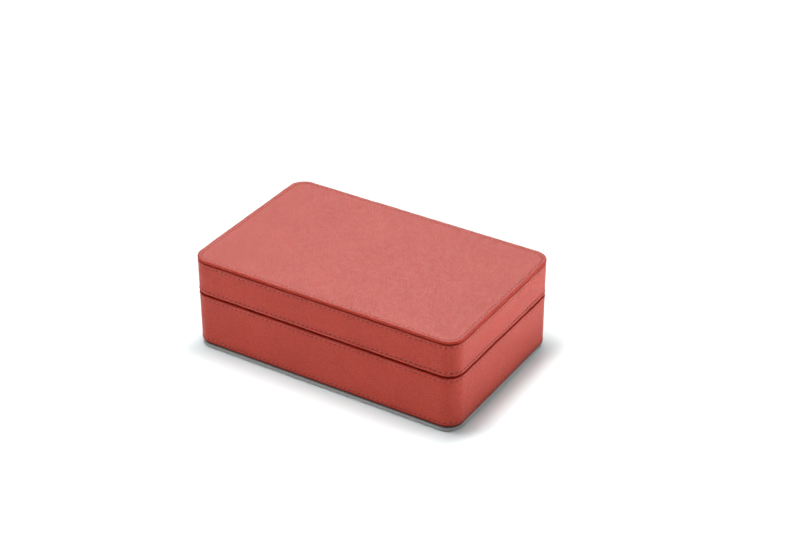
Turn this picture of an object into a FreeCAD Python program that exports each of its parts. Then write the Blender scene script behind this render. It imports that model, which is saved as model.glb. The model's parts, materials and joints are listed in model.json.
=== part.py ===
import FreeCAD
import Part
import Sketcher
import os
import math

# Playing card box: a leather covered base with a lift-off lid.
# Millimetres. The box stands on z = 0, centred on the Z axis. X runs along the long side,
# -Y is the long front face, +Z is up.
#
# From the table up: a suede covered plate, the base (bottom board, four walls, leather band,
# collar, lining, dividers), the dark line where the lid meets the base, then the lid (four walls,
# top board, leather band, top panel, lining).

Vector = FreeCAD.Vector
Rotation = FreeCAD.Rotation
Placement = FreeCAD.Placement

doc = FreeCAD.newDocument("card_box")
sheet = doc.addObject("Spreadsheet::Sheet", "Dims")
sheet.Label = "Dims"


# ---------------------------------------------------------------- driving dimensions

class Dim(object):
    """A length: its value in millimetres, and the same length written from the sheet's cells."""

    def __init__(self, text, value):
        self.text = text
        self.value = float(value)

    @staticmethod
    def of(other):
        if isinstance(other, Dim):
            return other
        return Dim(repr(float(other)), other)

    def __add__(self, other):
        other = Dim.of(other)
        return Dim("(%s + %s)" % (self.text, other.text), self.value + other.value)

    def __radd__(self, other):
        return Dim.of(other) + self

    def __sub__(self, other):
        other = Dim.of(other)
        return Dim("(%s - %s)" % (self.text, other.text), self.value - other.value)

    def __rsub__(self, other):
        return Dim.of(other) - self

    def __mul__(self, other):
        other = Dim.of(other)
        return Dim("(%s * %s)" % (self.text, other.text), self.value * other.value)

    __rmul__ = __mul__

    def __truediv__(self, other):
        other = Dim.of(other)
        return Dim("(%s / %s)" % (self.text, other.text), self.value / other.value)

    def __neg__(self):
        return Dim("(0 - %s)" % self.text, -self.value)


rows = []


def cell(alias, value, note):
    rows.append((alias, value, note))
    return Dim("Dims." + alias, value)


case_length = cell("case_length", 180.0, "outside of the leather, long side")
case_width = cell("case_width", 113.0, "outside of the leather, short side")
case_height = cell("case_height", 61.0, "table to the top of the lid")
corner_radius = cell("corner_radius", 10.0, "vertical corners, outside of the leather")
plinth_height = cell("plinth_height", 3.4, "table to the leather's lower edge")
plinth_inset = cell("plinth_inset", 0.7, "plate's edge in from the leather")
suede = cell("suede", 0.5, "suede skin on the collar and dividers")
plinth_skin = cell("plinth_skin", 0.6, "grey suede round the plate")
split_height = cell("split_height", 37.3, "plane where lid and base meet")
split_gap = cell("split_gap", 1.0, "dark line between the two leather edges")
leather = cell("leather", 1.0, "leather of the two bands")
backing = cell("backing", 0.6, "sheet that each leather panel is stitched to")
top_leather = cell("top_leather", 1.1, "leather of the top panel")
top_reveal = cell("top_reveal", 0.4, "groove between top panel and lid band")
top_overhang = cell("top_overhang", 0.1, "top panel past the lid band")
edge_round = cell("edge_round", 0.45, "rounding of the painted leather edges")
seam_width = cell("seam_width", 0.2, "butt seam of a band, back centre")
thread_width = cell("thread_width", 0.7, "stitch row, across the row")
thread_depth = cell("thread_depth", 0.3, "stitch row, sunk into the leather")
top_row_inset = cell("top_row_inset", 2.3, "top stitch row in from the panel's edge")
lid_high_row = cell("lid_high_row", 57.0, "height of the lid band's upper stitch row")
lid_low_row = cell("lid_low_row", 40.3, "height of the lid band's lower stitch row")
base_high_row = cell("base_high_row", 34.5, "height of the base band's upper stitch row")
base_low_row = cell("base_low_row", 6.3, "height of the base band's lower stitch row")
bottom_board = cell("bottom_board", 4.6, "thickness of the base's bottom board")
top_board = cell("top_board", 4.5, "thickness of the lid's top board")
base_wall = cell("base_wall", 6.5, "thickness of the base's wall boards")
lid_wall = cell("lid_wall", 5.5, "thickness of the lid's wall boards")
rim = cell("rim", 0.9, "leather strip on each rim")
lid_lining = cell("lid_lining", 0.7, "suede lining of the lid, on card")
floor_lining = cell("floor_lining", 1.0, "suede lining of the base floor, on card")
collar_core = cell("collar_core", 1.6, "collar board")
collar_rise = cell("collar_rise", 7.5, "collar above the split plane")
collar_round = cell("collar_round", 0.9, "rounding of the collar's upper edges")
divider_core = cell("divider_core", 2.4, "divider board")
divider_top = cell("divider_top", 34.0, "height of the dividers' upper edge")
bay_width = cell("bay_width", 19.8, "clear width between the two dividers")
notch_radius = cell("notch_radius", 12.0, "finger notch, to the suede")

sheet.set("A1", "dimension")
sheet.set("B1", "mm")
sheet.set("C1", "what it is")
for number, (alias, value, note) in enumerate(rows):
    line = number + 2
    sheet.set("A%d" % line, alias)
    sheet.set("B%d" % line, repr(value))
    sheet.setAlias("B%d" % line, alias)
    sheet.set("C%d" % line, note)
doc.recompute()

# lengths that follow from them
skin = leather + backing                                   # band, face to case
case_x = case_length / 2 - skin                            # outside of the boards
case_y = case_width / 2 - skin
case_r = corner_radius - skin
base_x = case_x - base_wall                                # inside of the base's walls
base_y = case_y - base_wall
lid_x = case_x - lid_wall                                  # inside of the lid's walls
lid_y = case_y - lid_wall
floor_top = plinth_height + bottom_board                   # upper face of the bottom board
base_rim = split_height - rim                              # upper end of the base's wall boards
lid_rim = split_height + rim                               # lower end of the lid's wall boards
panel_low = case_height - top_leather - backing            # underside of the top panel
walls_top = panel_low - top_board                          # upper end of the lid's wall boards
band_low_end = split_height - split_gap / 2                # base band's upper edge
band_high_start = split_height + split_gap / 2             # lid band's lower edge
band_high_end = panel_low - top_reveal                     # lid band's upper edge
collar = collar_core + 2 * suede                           # collar with its suede
collar_top = split_height + collar_rise
well_x = base_x - collar                                   # clear inside of the collar
well_y = base_y - collar
divider = divider_core + 2 * suede
divider_x = bay_width / 2 + divider / 2                    # middle of a divider
floor_face = floor_top + floor_lining                      # what the cards lie on

parts = []                                                 # sub-parts, in the order they are written


def keep(obj, label):
    obj.Label = label
    parts.append(obj)
    return obj


# ---------------------------------------------------------------- sketches and pads

def plane(body, role):
    for feature in body.Origin.OriginFeatures:
        if feature.Role == role:
            return feature
    raise RuntimeError("no plane " + role)


def sketch_on(body, name, role, height=None):
    sketch = body.newObject("Sketcher::SketchObject", name)
    sketch.AttachmentSupport = [(plane(body, role), "")]
    sketch.MapMode = "FlatFace"
    if height is not None:
        sketch.setExpression("AttachmentOffset.Base.z", height.text)
    return sketch


def constrain(sketch, name, dim, *args):
    """A constraint whose size follows the sheet."""
    number = sketch.addConstraint(Sketcher.Constraint(*(args + (dim.value,))))
    sketch.renameConstraint(number, name)
    sketch.setExpression("Constraints." + name, dim.text)


def rounded(sketch, tag, half_x, half_y, radius):
    """Closed rounded rectangle about the sketch's origin."""
    x, y, r = half_x.value, half_y.value, radius.value
    n = sketch.GeometryCount
    z = Vector(0, 0, 1)
    pi = math.pi
    geometry = [
        Part.LineSegment(Vector(-x + r, -y, 0), Vector(x - r, -y, 0)),
        Part.ArcOfCircle(Part.Circle(Vector(x - r, -y + r, 0), z, r), -pi / 2, 0),
        Part.LineSegment(Vector(x, -y + r, 0), Vector(x, y - r, 0)),
        Part.ArcOfCircle(Part.Circle(Vector(x - r, y - r, 0), z, r), 0, pi / 2),
        Part.LineSegment(Vector(x - r, y, 0), Vector(-x + r, y, 0)),
        Part.ArcOfCircle(Part.Circle(Vector(-x + r, y - r, 0), z, r), pi / 2, pi),
        Part.LineSegment(Vector(-x, y - r, 0), Vector(-x, -y + r, 0)),
        Part.ArcOfCircle(Part.Circle(Vector(-x + r, -y + r, 0), z, r), pi, 3 * pi / 2),
    ]
    sketch.addGeometry(geometry, False)
    C = Sketcher.Constraint
    joints = [C("Tangent", n + i, 2, n + (i + 1) % 8, 1) for i in range(8)]
    sketch.addConstraint(joints)
    sketch.addConstraint([
        C("Horizontal", n + 4), C("Vertical", n + 6),
        C("Equal", n + 1, n + 3), C("Equal", n + 1, n + 5), C("Equal", n + 1, n + 7),
        C("Symmetric", n, 1, n, 2, -2),
        C("Symmetric", n + 2, 1, n + 2, 2, -1),
    ])
    constrain(sketch, tag + "_radius", radius, "Radius", n + 1)
    constrain(sketch, tag + "_across_x", 2 * half_x, "DistanceX", n + 6, 1, n + 2, 1)
    constrain(sketch, tag + "_across_y", 2 * half_y, "DistanceY", n, 1, n + 4, 1)


def square(sketch, tag, half_x, half_y):
    """Closed rectangle about the sketch's origin."""
    x, y = half_x.value, half_y.value
    n = sketch.GeometryCount
    sketch.addGeometry([
        Part.LineSegment(Vector(-x, -y, 0), Vector(x, -y, 0)),
        Part.LineSegment(Vector(x, -y, 0), Vector(x, y, 0)),
        Part.LineSegment(Vector(x, y, 0), Vector(-x, y, 0)),
        Part.LineSegment(Vector(-x, y, 0), Vector(-x, -y, 0)),
    ], False)
    C = Sketcher.Constraint
    sketch.addConstraint([C("Coincident", n + i, 2, n + (i + 1) % 4, 1) for i in range(4)])
    sketch.addConstraint([
        C("Horizontal", n), C("Vertical", n + 1), C("Horizontal", n + 2), C("Vertical", n + 3),
        C("Symmetric", n, 1, n + 1, 2, -1, 1),
    ])
    constrain(sketch, tag + "_across_x", 2 * half_x, "DistanceX", n, 1, n, 2)
    constrain(sketch, tag + "_across_y", 2 * half_y, "DistanceY", n + 1, 1, n + 1, 2)


def pad(body, sketch, length):
    feature = body.newObject("PartDesign::Pad", sketch.Name + "_pad")
    feature.Profile = sketch
    feature.setExpression("Length", length.text)
    body.Tip = feature
    sketch.Visibility = False
    return feature


def body_named(name):
    return doc.addObject("PartDesign::Body", name)


def plate(name, half_x, half_y, radius, low, high):
    """A flat board or panel with rounded corners, from one height to another."""
    body = body_named(name)
    sketch = sketch_on(body, name + "_outline", "XY_Plane", low)
    rounded(sketch, "outline", half_x, half_y, radius)
    pad(body, sketch, high - low)
    return body


def ring(name, half_x, half_y, radius, thick, low, high, square_inside=False):
    """A band with rounded corners: its outline, less the same outline moved in by its thickness."""
    body = body_named(name)
    sketch = sketch_on(body, name + "_section", "XY_Plane", low)
    rounded(sketch, "outer", half_x, half_y, radius)
    if square_inside:
        square(sketch, "inner", half_x - thick, half_y - thick)
    else:
        rounded(sketch, "inner", half_x - thick, half_y - thick, radius - thick)
    pad(body, sketch, high - low)
    return body


def round_edges(body, radius, wanted):
    """Round those edges of the body's last feature that the test picks."""
    doc.recompute()
    base = body.Tip
    names = []
    for number, edge in enumerate(base.Shape.Edges):
        if wanted(edge):
            names.append("Edge%d" % (number + 1))
    feature = body.newObject("PartDesign::Fillet", body.Name + "_round")
    feature.Base = (base, names)
    feature.setExpression("Radius", radius.text)
    body.Tip = feature
    return feature


def outer_loop(heights, half_x, half_y, radius):
    """Picks the edges of a rounded outline at the given heights."""
    def wanted(edge):
        box = edge.BoundBox
        if box.ZLength > 1e-6 or not any(abs(box.ZMin - h.value) < 1e-6 for h in heights):
            return False
        middle = edge.valueAt((edge.FirstParameter + edge.LastParameter) / 2)
        past_x = abs(middle.x) - (half_x.value - radius.value)
        past_y = abs(middle.y) - (half_y.value - radius.value)
        away = math.hypot(max(past_x, 0), max(past_y, 0)) + min(max(past_x, past_y), 0)
        return abs(away - radius.value) < 1e-3
    return wanted


def block(name, x0, x1, y0, y1, z0, z1):
    """A plain box between two corners."""
    box = doc.addObject("Part::Box", name)
    box.setExpression("Length", (x1 - x0).text)
    box.setExpression("Width", (y1 - y0).text)
    box.setExpression("Height", (z1 - z0).text)
    box.setExpression("Placement.Base.x", x0.text)
    box.setExpression("Placement.Base.y", y0.text)
    box.setExpression("Placement.Base.z", z0.text)
    return box


def common(name, base, tool):
    obj = doc.addObject("Part::Common", name)
    obj.Base = base
    obj.Tool = tool
    return obj


def cut(name, base, tool):
    obj = doc.addObject("Part::Cut", name)
    obj.Base = base
    obj.Tool = tool
    return obj


# ---------------------------------------------------------------- carcass boards

def four_walls(prefix, wall, inside_x, inside_y, low, high):
    """Front and back boards run the full length; left and right boards stand between them.
    All four are cut from one block with rounded corners."""
    blank = plate(prefix + "_wall_blank", case_x, case_y, case_r, low, high)
    keep(common(prefix + "_front_board_cut", blank,
                block(prefix + "_front_slab", -case_x, case_x, -case_y, -inside_y, low, high)),
         prefix + "_front_board")
    keep(common(prefix + "_back_board_cut", blank,
                block(prefix + "_back_slab", -case_x, case_x, inside_y, case_y, low, high)),
         prefix + "_back_board")
    keep(common(prefix + "_left_board_cut", blank,
                block(prefix + "_left_slab", -case_x, -inside_x, -inside_y, inside_y, low, high)),
         prefix + "_left_board")
    keep(common(prefix + "_right_board_cut", blank,
                block(prefix + "_right_slab", inside_x, case_x, -inside_y, inside_y, low, high)),
         prefix + "_right_board")


keep(plate("base_bottom_board_body", case_x, case_y, case_r, plinth_height, floor_top),
     "base_bottom_board")
four_walls("base", base_wall, base_x, base_y, floor_top, base_rim)
keep(plate("lid_top_board_body", case_x, case_y, case_r, walls_top, panel_low), "lid_top_board")
four_walls("lid", lid_wall, lid_x, lid_y, lid_rim, walls_top)

# ---------------------------------------------------------------- plate under the base

plinth_x = case_length / 2 - plinth_inset
plinth_y = case_width / 2 - plinth_inset
plinth_r = corner_radius - plinth_inset
plinth_board = keep(
    plate("plinth_board_body", plinth_x - plinth_skin, plinth_y - plinth_skin,
          plinth_r - plinth_skin, plinth_skin, plinth_height), "plinth_board")
plinth_blank = plate("plinth_blank", plinth_x, plinth_y, plinth_r, Dim.of(0.0), plinth_height)
keep(cut("plinth_suede_cut", plinth_blank, plinth_board), "plinth_suede")


# ---------------------------------------------------------------- leather bands and stitch rows

def stitch_row(label, height):
    """Thread row round a band: flush with the leather and sunk into it."""
    body = ring(label + "_body", case_length / 2, case_width / 2, corner_radius, thread_depth,
                height - thread_width / 2, height + thread_width / 2)
    return keep(body, label)


def fuse(name, shapes):
    obj = doc.addObject("Part::MultiFuse", name)
    obj.Shapes = shapes
    return obj


def leather_band(prefix, low, high, row_heights):
    """Leather face and its backing, each a strip that closes in a butt seam at the back."""
    blank = ring(prefix + "_band_blank", case_length / 2, case_width / 2, corner_radius,
                 leather, low, high)
    round_edges(blank, edge_round, outer_loop([low, high], case_length / 2, case_width / 2, corner_radius))
    seam = block(prefix + "_seam_slot", -seam_width / 2, seam_width / 2,
                 case_width / 2 - skin - 1, case_width / 2 + 1, low - 1, high + 1)
    threads = [stitch_row(label, height) for label, height in row_heights]
    keep(cut(prefix + "_band_leather_cut", blank, fuse(prefix + "_band_away", threads + [seam])),
         prefix + "_band_leather")
    under = ring(prefix + "_backing_blank", case_length / 2 - leather, case_width / 2 - leather,
                 corner_radius - leather, backing, low, high)
    keep(cut(prefix + "_band_backing_cut", under, seam), prefix + "_band_backing")


leather_band("base", plinth_height, band_low_end,
             [("base_lower_thread", base_low_row), ("base_upper_thread", base_high_row)])
leather_band("lid", band_high_start, band_high_end,
             [("lid_lower_thread", lid_low_row), ("lid_upper_thread", lid_high_row)])

# ---------------------------------------------------------------- top panel

panel_x = case_length / 2 + top_overhang
panel_y = case_width / 2 + top_overhang
panel_r = corner_radius + top_overhang
keep(plate("lid_top_backing_body", panel_x, panel_y, panel_r, panel_low, panel_low + backing),
     "lid_top_backing")
panel_blank = plate("lid_top_leather_blank", panel_x, panel_y, panel_r,
                    panel_low + backing, case_height)
round_edges(panel_blank, edge_round, outer_loop([case_height], panel_x, panel_y, panel_r))
row_x = panel_x - top_row_inset + thread_width / 2
row_y = panel_y - top_row_inset + thread_width / 2
row_r = panel_r - top_row_inset + thread_width / 2
top_thread = keep(ring("lid_top_thread_body", row_x, row_y, row_r, thread_width,
                       case_height - thread_depth, case_height), "lid_top_thread")
keep(cut("lid_top_leather_cut", panel_blank, top_thread), "lid_top_leather")

# ---------------------------------------------------------------- rims, where lid and base meet

keep(ring("base_rim_leather_body", case_x, case_y, case_r, base_wall,
          base_rim, split_height, square_inside=True), "base_rim_leather")
keep(ring("lid_rim_leather_body", case_x, case_y, case_r, lid_wall + lid_lining,
          split_height, lid_rim, square_inside=True), "lid_rim_leather")


# ---------------------------------------------------------------- collar that locates the lid

def strip_body(name, half_length, thick, low, high, radius):
    """A strip standing on edge along X, its two upper long edges rounded."""
    body = body_named(name)
    sketch = sketch_on(body, name + "_foot", "XY_Plane", low)
    square(sketch, "foot", half_length, thick / 2)
    pad(body, sketch, high - low)

    def upper_long(edge):
        box = edge.BoundBox
        return box.ZLength < 1e-6 and abs(box.ZMin - high.value) < 1e-6 and box.YLength < 1e-6
    round_edges(body, radius, upper_long)
    return body


def collar_strip(side, half_length, half_core, x, y, turn):
    """Board of the collar and the suede folded over it, on one side of the box."""
    core = strip_body("collar_%s_core" % side, half_core, collar_core,
                      floor_top, collar_top - suede, collar_round - suede)
    blank = strip_body("collar_%s_blank" % side, half_length, collar,
                       floor_top, collar_top, collar_round)
    for body in (core, blank):
        body.Placement = Placement(Vector(0, 0, 0), Rotation(Vector(0, 0, 1), turn))
        body.setExpression("Placement.Base.x", x.text)
        body.setExpression("Placement.Base.y", y.text)
    keep(core, "collar_%s_strip" % side)
    keep(cut("collar_%s_suede_cut" % side, blank, core), "collar_%s_suede" % side)


zero = Dim.of(0.0)
collar_strip("front", base_x, base_x - suede, zero, -(base_y - collar / 2), 0)
collar_strip("back", base_x, base_x - suede, zero, base_y - collar / 2, 0)
collar_strip("left", well_y, well_y, -(base_x - collar / 2), zero, 90)
collar_strip("right", well_y, well_y, base_x - collar / 2, zero, 90)


# ---------------------------------------------------------------- linings

def sheet_plate(name, half_x, half_y, low, high):
    body = body_named(name)
    sketch = sketch_on(body, name + "_outline", "XY_Plane", low)
    square(sketch, "outline", half_x, half_y)
    pad(body, sketch, high - low)
    return body


keep(sheet_plate("base_floor_lining_body", well_x, well_y, floor_top, floor_face),
     "base_floor_lining")
keep(sheet_plate("lid_ceiling_lining_body", lid_x, lid_y, walls_top - lid_lining, walls_top),
     "lid_ceiling_lining")
side = body_named("lid_side_lining_body")
side_sketch = sketch_on(side, "lid_side_lining_section", "XY_Plane", lid_rim)
square(side_sketch, "outer", lid_x, lid_y)
square(side_sketch, "inner", lid_x - lid_lining, lid_y - lid_lining)
pad(side, side_sketch, walls_top - lid_lining - lid_rim)
keep(side, "lid_side_lining")


# ---------------------------------------------------------------- dividers with finger notches

def notched(name, thick, high, radius):
    """A board across the box, thick along X, with a half-round notch in its upper edge."""
    body = body_named(name)
    sketch = sketch_on(body, name + "_foot", "XY_Plane", floor_face)
    square(sketch, "foot", thick / 2, well_y)
    pad(body, sketch, high - floor_face)
    doc.recompute()
    before = body.Shape.Volume
    cutter = body.newObject("Sketcher::SketchObject", name + "_notch")
    cutter.AttachmentSupport = [(plane(body, "YZ_Plane"), "")]
    cutter.MapMode = "FlatFace"
    n = cutter.GeometryCount
    cutter.addGeometry(Part.Circle(Vector(0, divider_top.value, 0), Vector(0, 0, 1), radius.value),
                       False)
    cutter.addConstraint(Sketcher.Constraint("PointOnObject", n, 3, -2))
    constrain(cutter, "notch_height", divider_top, "DistanceY", -1, 1, n, 3)
    constrain(cutter, "notch_radius", radius, "Radius", n)
    pocket = body.newObject("PartDesign::Pocket", name + "_notch_pocket")
    pocket.Profile = cutter
    pocket.Type = "Length"
    pocket.setExpression("Length", (thick * 4).text)
    pocket.Midplane = True
    body.Tip = pocket
    doc.recompute()
    away = before - body.Shape.Volume
    half_disc = math.pi * radius.value ** 2 / 2
    cap = (divider_top.value - high.value) * 2 * radius.value
    if not 0.8 * (half_disc - cap) * thick.value < away < 1.05 * half_disc * thick.value:
        raise RuntimeError("the finger notch of %s cut %.1f mm3" % (name, away))
    return body


for side_name, middle in (("left", -divider_x), ("right", divider_x)):
    core = notched("divider_%s_core" % side_name, divider_core, divider_top - suede,
                   notch_radius + suede)
    blank = notched("divider_%s_blank" % side_name, divider, divider_top, notch_radius)
    for body in (core, blank):
        body.setExpression("Placement.Base.x", middle.text)
    keep(core, "divider_%s_board" % side_name)
    keep(cut("divider_%s_suede_cut" % side_name, blank, core), "divider_%s_suede" % side_name)

# ---------------------------------------------------------------- check and write

doc.recompute()
for obj in doc.Objects:
    if "Invalid" in obj.State or "Error" in obj.State:
        raise RuntimeError("%s is %s" % (obj.Name, obj.State))
for obj in parts:
    shape = obj.Shape
    if shape.isNull() or not shape.isValid() or len(shape.Solids) < 1:
        raise RuntimeError("%s has no valid shape" % obj.Label)

os.makedirs("parts", exist_ok=True)
for obj in parts:
    obj.Shape.exportStep(os.path.join("parts", obj.Label + ".step"))
    box = obj.Shape.BoundBox
    print("%-24s solids %d  volume %10.1f  x %7.2f %7.2f  y %7.2f %7.2f  z %6.2f %6.2f" % (
        obj.Label, len(obj.Shape.Solids), obj.Shape.Volume,
        box.XMin, box.XMax, box.YMin, box.YMax, box.ZMin, box.ZMax))
print("parts written:", len(parts))
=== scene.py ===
import json
import math
import bpy
import numpy as np
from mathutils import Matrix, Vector


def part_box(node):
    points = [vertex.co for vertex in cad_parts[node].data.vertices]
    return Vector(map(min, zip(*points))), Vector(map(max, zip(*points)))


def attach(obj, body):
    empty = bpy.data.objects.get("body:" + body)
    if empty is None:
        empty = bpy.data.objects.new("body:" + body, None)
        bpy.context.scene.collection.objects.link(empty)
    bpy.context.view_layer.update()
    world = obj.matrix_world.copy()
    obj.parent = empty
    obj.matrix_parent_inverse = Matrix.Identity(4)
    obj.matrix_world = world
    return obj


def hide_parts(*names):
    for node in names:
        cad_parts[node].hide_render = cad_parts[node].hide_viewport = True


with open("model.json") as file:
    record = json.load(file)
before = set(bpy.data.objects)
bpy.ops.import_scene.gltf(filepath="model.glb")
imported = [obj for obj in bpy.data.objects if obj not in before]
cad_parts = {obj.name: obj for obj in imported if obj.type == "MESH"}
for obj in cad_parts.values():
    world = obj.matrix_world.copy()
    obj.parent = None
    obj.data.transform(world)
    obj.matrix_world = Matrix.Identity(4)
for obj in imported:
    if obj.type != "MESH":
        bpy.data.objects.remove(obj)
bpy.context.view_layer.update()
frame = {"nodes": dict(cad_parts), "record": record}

MM = 0.001
TAU = 2.0 * math.pi

# ---------------------------------------------------------------- sizes read from the frame, in mm


def span(node):
    lo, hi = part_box(node)
    return np.array(lo) / MM, np.array(hi) / MM


base_lo, base_hi = span("base_band_leather")
lid_lo, lid_hi = span("lid_band_leather")
top_lo, top_hi = span("lid_top_leather")
topback_lo, topback_hi = span("lid_top_backing")
plinth_lo, plinth_hi = span("plinth_suede")

HALF_X = base_hi[0]
HALF_Y = base_hi[1]
CORNER = 10.0
BAND = 1.6                     # leather and backing together
STITCHES = 180
PER = 8                        # columns per stitch
COLS = STITCHES * PER


def row_height(node):
    lo, hi = span(node)
    return 0.5 * (lo[2] + hi[2])


# ---------------------------------------------------------------- the outline, by distance along it

class Outline(object):
    """Rounded rectangle, walked anticlockwise from the middle of the back (+Y) side."""

    def __init__(self, half_x, half_y, radius):
        self.a, self.b, self.r = half_x, half_y, radius
        sx, sy, q = half_x - radius, half_y - radius, math.pi * radius / 2
        self.parts = [sx, q, 2 * sy, q, 2 * sx, q, 2 * sy, q, sx]
        self.length = sum(self.parts)

    def at(self, s):
        """Points and outward normals at distances s."""
        s = np.mod(np.asarray(s, float), self.length)
        x = np.zeros_like(s)
        y = np.zeros_like(s)
        nx = np.zeros_like(s)
        ny = np.zeros_like(s)
        a, b, r = self.a, self.b, self.r
        sx, sy = a - r, b - r
        edges = np.concatenate([[0], np.cumsum(self.parts)])
        for i in range(9):
            m = (s >= edges[i]) & (s <= edges[i + 1])
            d = s[m] - edges[i]
            if i == 0:
                x[m], y[m], nx[m], ny[m] = -d, b, 0, 1
            elif i == 2:
                x[m], y[m], nx[m], ny[m] = -a, sy - d, -1, 0
            elif i == 4:
                x[m], y[m], nx[m], ny[m] = -sx + d, -b, 0, -1
            elif i == 6:
                x[m], y[m], nx[m], ny[m] = a, -sy + d, 1, 0
            elif i == 8:
                x[m], y[m], nx[m], ny[m] = sx - d, b, 0, 1
            else:
                cx, cy, start = {1: (-sx, sy, 90), 3: (-sx, -sy, 180),
                                 5: (sx, -sy, 270), 7: (sx, sy, 0)}[i]
                t = np.radians(start) + d / r
                nx[m], ny[m] = np.cos(t), np.sin(t)
                x[m], y[m] = cx + r * np.cos(t), cy + r * np.sin(t)
        return x, y, nx, ny


# ---------------------------------------------------------------- smooth seeded unevenness

def waves(seed, count, shortest, longest):
    rng = np.random.RandomState(seed)
    k = []
    for _ in range(count):
        direction = rng.normal(size=3)
        direction /= np.linalg.norm(direction)
        length = rng.uniform(shortest, longest)
        k.append((direction * TAU / length, rng.uniform(0, TAU)))

    def field(x, y, z):
        total = 0.0
        for vector, phase in k:
            total = total + np.sin(vector[0] * x + vector[1] * y + vector[2] * z + phase)
        return total / math.sqrt(count)
    return field


broad = waves(11, 7, 35.0, 90.0)
middle = waves(12, 9, 9.0, 24.0)
fine = waves(13, 12, 2.5, 6.0)


# ---------------------------------------------------------------- meshes

def new_mesh(name, verts, faces, smooth=True, press_and_shade=None):
    """verts (n, 3) in mm; faces a list of (m, k) integer arrays; the darkening value is 0 to 1 at each vertex,
    where the surface is pressed, burnished or darker at a joint, or where painted shade is put in: in the needle
    holes and stitch grooves, in the groove under the top panel, on the base's bottom painted edge and on the plinth
    under the overhang."""
    mesh = bpy.data.meshes.new(name)
    verts = np.asarray(verts, np.float32) * MM
    total = sum(f.shape[0] for f in faces)
    loops = sum(f.size for f in faces)
    mesh.vertices.add(len(verts))
    mesh.vertices.foreach_set("co", verts.ravel())
    mesh.loops.add(loops)
    mesh.polygons.add(total)
    index = np.concatenate([f.ravel() for f in faces]).astype(np.int32)
    sizes = np.concatenate([np.full(f.shape[0], f.shape[1]) for f in faces]).astype(np.int32)
    starts = np.concatenate([[0], np.cumsum(sizes)[:-1]]).astype(np.int32)
    mesh.loops.foreach_set("vertex_index", index)
    mesh.polygons.foreach_set("loop_start", starts)
    mesh.polygons.foreach_set("loop_total", sizes)
    mesh.polygons.foreach_set("use_smooth", np.full(total, smooth))
    mesh.update(calc_edges=True)
    if press_and_shade is not None:
        layer = mesh.attributes.new("press_and_shade", "FLOAT", "POINT")
        layer.data.foreach_set("value", np.clip(np.asarray(press_and_shade, np.float32).ravel(), 0.0, 1.0))
    obj = bpy.data.objects.new(name, mesh)
    bpy.context.scene.collection.objects.link(obj)
    return obj


def quads(rows, cols, wrap_rows, wrap_cols, offset=0):
    """Faces of a grid of rows x cols vertices; row-major numbering."""
    r = np.arange(rows if wrap_rows else rows - 1)
    c = np.arange(cols if wrap_cols else cols - 1)
    rr, cc = np.meshgrid(r, c, indexing="ij")
    r2, c2 = (rr + 1) % rows, (cc + 1) % cols
    return np.stack([rr * cols + cc, rr * cols + c2, r2 * cols + c2, r2 * cols + cc],
                    axis=-1).reshape(-1, 4) + offset


def swept(outline, cols, section, shape=None):
    """A closed section (offset outward, height) swept round an outline.
    shape(s, offset, height, x, y) may return changed offset and height, and a third value."""
    s = np.arange(cols) * outline.length / cols
    x, y, nx, ny = outline.at(s)
    section = np.asarray(section, float)
    off = np.repeat(section[:, 0][:, None], cols, 1)
    z = np.repeat(section[:, 1][:, None], cols, 1)
    press_and_shade = np.zeros_like(off)
    if shape is not None:
        off, z, press_and_shade = shape(s[None, :] + 0 * off, off, z, x[None, :], y[None, :])
    px = x[None, :] + nx[None, :] * off
    py = y[None, :] + ny[None, :] * off
    return np.stack([px, py, z], -1), press_and_shade


def joined(name, grids):
    """One object of several closed sweeps."""
    verts, faces, press_and_shade_parts, n = [], [], [], 0
    for g, press_and_shade in grids:
        verts.append(g.reshape(-1, 3))
        press_and_shade_parts.append(np.asarray(press_and_shade, float).ravel())
        faces.append(quads(g.shape[0], g.shape[1], True, True, n))
        n += g.shape[0] * g.shape[1]
    return new_mesh(name, np.concatenate(verts), faces, press_and_shade=np.concatenate(press_and_shade_parts))


def soft_box(name, lo, hi, radius, step, swell=None, amount=0.03, seed=50):
    """A closed block with rounded edges and a fine grid on every face. swell(p, n) is how far a
    point moves out along its normal, on top of the seeded unevenness."""
    lo, hi = np.array(lo, float), np.array(hi, float)
    near = np.array([0.0, 0.25, 0.5, 0.75]) * radius
    ticks = []
    for k in range(3):
        count = max(1, int(round((hi[k] - lo[k] - 2 * radius) / step)))
        ticks.append(np.concatenate([lo[k] + near, np.linspace(lo[k] + radius, hi[k] - radius, count + 1),
                                     (hi[k] - near)[::-1]]))
    points, faces, n = [], [], 0
    for k in range(3):
        i, j = (k + 1) % 3, (k + 2) % 3
        a, b = np.meshgrid(ticks[i], ticks[j], indexing="ij")
        for side in (0, 1):
            p = np.zeros(a.shape + (3,))
            p[..., i], p[..., j], p[..., k] = a, b, (hi[k] if side else lo[k])
            q = quads(a.shape[0], a.shape[1], False, False, n)
            q = q[:, ::-1] if side else q
            points.append(p.reshape(-1, 3))
            faces.append(q)
            n += a.size
    points = np.concatenate(points)
    _, first, back = np.unique(np.round(points, 5), axis=0, return_index=True, return_inverse=True)
    points = points[first]
    quads_all = back.ravel()[np.concatenate(faces)]
    core = np.clip(points, lo + radius, hi - radius)
    out = points - core
    normal = out / np.linalg.norm(out, axis=1)[:, None]
    p = core + normal * radius
    field = waves(seed, 9, 5.0, 22.0)
    move = amount * (field(p[:, 0], p[:, 1], p[:, 2]) - 1.2)
    if swell is not None:
        move = move + swell(p, normal)
    p = p + normal * move[:, None]
    return new_mesh(name, p, [quads_all])


# ---------------------------------------------------------------- materials

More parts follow.
